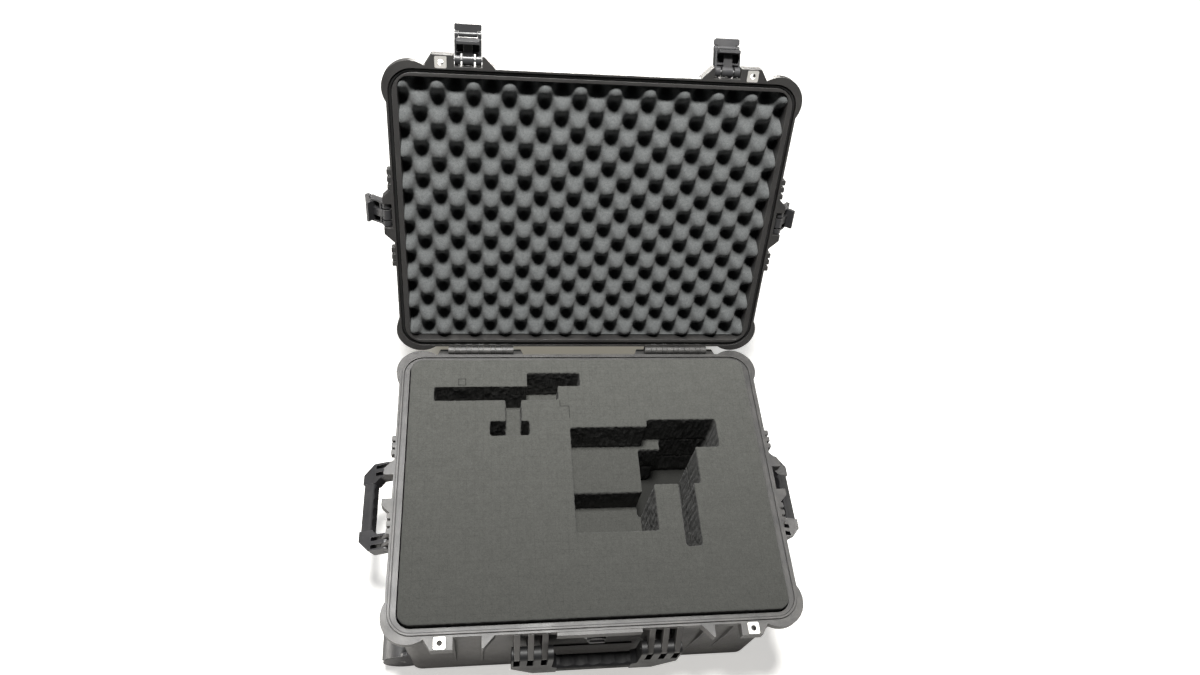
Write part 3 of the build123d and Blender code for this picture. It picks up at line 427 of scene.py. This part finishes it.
def pluck(mesh, top):
    """Torn foam: cell scallops on upright walls, a gentle sag and small tears everywhere."""
    moved = np.empty(len(mesh.vertices) * 3)
    mesh.vertices.foreach_get("co", moved)
    moved = moved.reshape(-1, 3)
    for vertex in mesh.vertices:
        place, normal = vertex.co, vertex.normal
        tear = 0.0006 * noise.noise(place * 210) + 0.0004 * noise.noise(place * 480)
        if abs(normal.z) < 0.5 and abs(place.x) < CUT_X and abs(place.y) < CUT_Y:
            if abs(normal.x) > abs(normal.y):
                along = (place.y - CELL_Y) / CELL
            else:
                along = (place.x - CELL_X) / CELL
            edge = abs((along % 1.0) - 0.5) * 2
            tear -= 0.0010 * edge ** 6
            tear += 0.0008 * noise.noise(Vector((along * 3, place.z * 40, 5)))
        if normal.z > 0.7 and place.z > top - 0.003:
            tear = 0.0003 * noise.noise(place * 300) + 0.0006 * noise.noise(place * 18)
        moved[vertex.index] += np.array(normal) * tear
    mesh.vertices.foreach_set("co", moved.ravel())
    mesh.update()
    return mesh


FINE, COARSE = 0.002, 0.004      # voxels, for the two upper layers and the two below
LAYERS = {"foam_top": FINE, "foam_middle": FINE, "foam_lower": COARSE, "foam_pad": COARSE}
for node, voxel in LAYERS.items():
    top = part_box(node)[1][2]
    add_piece(node + "_soft", pluck(softened(node, voxel), top), "base", "base_foam", node)


SHEET_FACE, SHEET_BACK = 0.0012, 0.0535      # heights of the lid foam's peaks and its back
SHEET_PITCH = 0.0494     # from one peak of the lid foam to the next, along the sheet
SHEET_PHASE = 0.1985     # where a row of peaks lies, from the middle of the sheet
SHEET_HOLLOW = 0.029     # depth of the hollows below the peaks


def egg_crate():
    """The lid's convoluted foam sheet, with rounded corners, as a closed mesh."""
    half_x, half_y, corner = 0.2752, 0.2087, 0.016
    rows = np.linspace(-half_y, half_y, 211)
    extra = np.array([0.0002, 0.0006, 0.0012])
    rows = np.unique(np.round(np.concatenate([rows, half_y - extra, extra - half_y]), 7))
    columns = np.linspace(-1, 1, 275)
    points, faces = [], []
    for y in rows:
        inset = max(0.0, abs(y) - (half_y - corner))
        reach = half_x - corner + math.sqrt(max(corner ** 2 - inset ** 2, 0.0))
        for u in columns:
            x = u * reach
            wander = noise.noise(Vector((x * 14, y * 14, 1)))
            wave_x = math.cos(2 * math.pi * (x / SHEET_PITCH - 0.5))
            wave_y = math.cos(2 * math.pi * (-y - SHEET_PHASE) / SHEET_PITCH)
            depth = SHEET_HOLLOW * ((1 - wave_x * wave_y) / 2) ** 1.2 + 0.0010 * wander
            depth += 0.0005 * noise.noise(Vector((x * 190, y * 190, 7)))
            points.append(in_lid(x, y, SHEET_FACE + max(depth, -0.0002)))
    width = len(columns)
    for row in range(len(rows) - 1):
        for column in range(width - 1):
            a = row * width + column
            faces.append((a, a + 1, a + width + 1, a + width))
    # skirt and back
    edge = list(range(width))
    edge += [r * width + width - 1 for r in range(1, len(rows))]
    edge += [(len(rows) - 1) * width + c for c in range(width - 2, -1, -1)]
    edge += [r * width for r in range(len(rows) - 2, 0, -1)]
    start = len(points)
    turn_back = LID_TURN.inverted()
    for index in edge:
        flat = turn_back @ (points[index] - LID_HINGE)
        points.append(in_lid(flat.x * 0.992, (flat.y + LID_HINGE.y) * 0.992, SHEET_BACK))
    count = len(edge)
    for k in range(count):
        following = (k + 1) % count
        faces.append((edge[following], edge[k], start + k, start + following))
    faces.append(tuple(range(start, start + count)))
    mesh = bpy.data.meshes.new("lid_foam_soft")
    mesh.from_pydata(points, [], faces)
    mesh.update()
    return mesh


lid_sheet = add_piece("lid_foam_soft", egg_crate(), "lid", "lid_foam", "lid_foam")
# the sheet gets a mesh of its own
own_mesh(lid_sheet)


# ------------------------------------------------------------------ stage, light and camera
def pale_sheet():
    """The floor: bright to the camera, but throwing little light back on the case."""
    f = Finish("sheet")
    tint = f.noise(1.1, 3, 0.5)
    colour = f.blend(f.spread(tint, 0.4, 0.7, 0, 1), (0.90, 0.90, 0.89), (0.88, 0.86, 0.83))
    normal = f.bump(f.noise(300, 4, 0.6), 0.1, 0.0005)
    # what the camera sees is bright; what the case gets back is dimmer, most of all far away
    seen = f.tree.nodes.new("ShaderNodeLightPath").outputs["Is Camera Ray"]
    out = f.tree.nodes.new("ShaderNodeVectorMath")
    out.operation = "LENGTH"
    f.put(out.inputs[0], f.place)
    near = f.spread(out.outputs["Value"], 0.55, 0.95, 1.0, 0.0)
    colour = f.blend(seen, f.blend(near, (0.10, 0.10, 0.10), (0.62, 0.61, 0.59)), colour)
    # painted shadow: the strip of floor that shows between the open lid and the base is darker and
    # glows less
    place = f.split()
    lid_gap_shadow = f.spread(f.math("ABSOLUTE", place["X"]), 0.24, 0.32, 1.0, 0.0)
    behind = f.math("ABSOLUTE", f.math("SUBTRACT", place["Y"], 0.36))
    lid_gap_shadow = f.math("MULTIPLY", lid_gap_shadow, f.spread(behind, 0.12, 0.20, 1.0, 0.0))
    colour = f.blend(lid_gap_shadow, colour, (0.70, 0.655, 0.55))
    haze = f.spread(out.outputs["Value"], 1.0, 2.6, 0.62, 1.0)
    # the painted shadow strip glows less as well
    dimmed = f.math("SUBTRACT", 1.0, f.math("MULTIPLY", lid_gap_shadow, 0.55))
    glow = f.math("MULTIPLY", f.math("MULTIPLY", seen, haze), dimmed)
    return f.finish(colour, 0.9, normal, Emission_Color=colour, Emission_Strength=glow)


bpy.ops.mesh.primitive_grid_add(x_subdivisions=60, y_subdivisions=60, size=14.0)
floor = bpy.context.active_object
floor.name = "floor"
FLOOR_Z, FLOOR_WAVE = -0.0005, 0.012     # just below the feet, and gently uneven away from them
for vertex in floor.data.vertices:
    away = min(1.0, max(0.0, (vertex.co.length - 0.7) / 1.2))
    wave = noise.noise(Vector((vertex.co.x, vertex.co.y, 3)) * 1.3)
    vertex.co.z = FLOOR_Z + FLOOR_WAVE * away * wave
for polygon in floor.data.polygons:
    polygon.use_smooth = True
floor.data.materials.append(pale_sheet())


def group(name, wanted):
    """A collection of the CAD pieces that one lamp should reach."""
    collection = bpy.data.collections.new(name)
    for node, thing in frame["nodes"].items():
        if wanted(node):
            collection.objects.link(thing)
    return collection


LID_PARTS = ("lid_", "latch_", "padlock_plates_lid")
SHADED = ("handle_front", "handle_rubber_front")     # only the key lamp reaches these
HARD_PARTS = group("hard_parts", lambda node: "foam" not in node and node not in SHADED)
BASE_PARTS = group("base_parts", lambda node: "foam" not in node and node not in SHADED
                   and not node.startswith(LID_PARTS))


def lamp(name, place, target, size, power, colour, receivers=None):
    """A round soft lamp aimed at a point, which may reach only some of the pieces."""
    data = bpy.data.lights.new(name, "AREA")
    data.shape = "DISK"
    data.size = size
    data.energy = power
    data.color = colour
    thing = bpy.data.objects.new(name, data)
    bpy.context.scene.collection.objects.link(thing)
    thing.location = place
    aim = Vector(target) - Vector(place)
    thing.rotation_euler = aim.to_track_quat("-Z", "Y").to_euler()
    if receivers:
        thing.light_linking.receiver_collection = receivers


WHITE = (1.0, 1.0, 1.0)
WARM = (1.0, 0.97, 0.92)
lamp("key", (-0.20, 0.10, 2.9), (0, 0.05, 0.2), 0.5, 125, (1.0, 0.99, 0.965))
lamp("glare", (-0.8, 0.8, 2.1), (-0.25, 0, 0.24), 0.7, 30, WHITE, HARD_PARTS)
lamp("sheen", (0.1, 0.9, 2.7), (0, 0, 0.24), 1.6, 30, WHITE, HARD_PARTS)
lamp("low_front", (-1.3, -1.4, 0.45), (0, 0, 0.15), 0.9, 62, WARM, BASE_PARTS)
lamp("low_left", (-1.8, 0.1, 0.4), (0, 0, 0.15), 0.9, 22, WARM, HARD_PARTS)
lamp("low_right", (1.8, 0.3, 0.4), (0, 0, 0.15), 0.9, 22, WARM, HARD_PARTS)
lamp("low_back", (0.2, 2.1, 0.4), (0, 0.3, 0.2), 0.9, 45, WARM, HARD_PARTS)

# the camera sees a pale backdrop, which lights the case only faintly
BACKDROP_LIGHT = 0.05
world = bpy.data.worlds.new("studio")
bpy.context.scene.world = world
world.use_nodes = True
tree = world.node_tree
background = tree.nodes["Background"]
path = tree.nodes.new("ShaderNodeLightPath")
seen = tree.nodes.new("ShaderNodeMapRange")
seen.inputs["To Min"].default_value = BACKDROP_LIGHT
seen.inputs["To Max"].default_value = 1.0
tree.links.new(path.outputs["Is Camera Ray"], seen.inputs["Value"])
tree.links.new(seen.outputs[0], background.inputs["Strength"])
background.inputs["Color"].default_value = (0.95, 0.96, 0.97, 1)

view_settings = bpy.context.scene.view_settings
view_settings.view_transform = "Standard"
view_settings.look = "None"

# from above the front, a little to the left, looking down into the open case
camera = bpy.data.objects.new("camera", bpy.data.cameras.new("camera"))
bpy.context.scene.collection.objects.link(camera)
camera.location = (-0.15748, -0.51650, 1.39588)
camera.rotation_euler = Euler([math.radians(a) for a in (34.0645, -6.6282, -4.3633)])
camera.data.lens = 24.86
camera.data.sensor_width = 36
bpy.context.scene.camera = camera
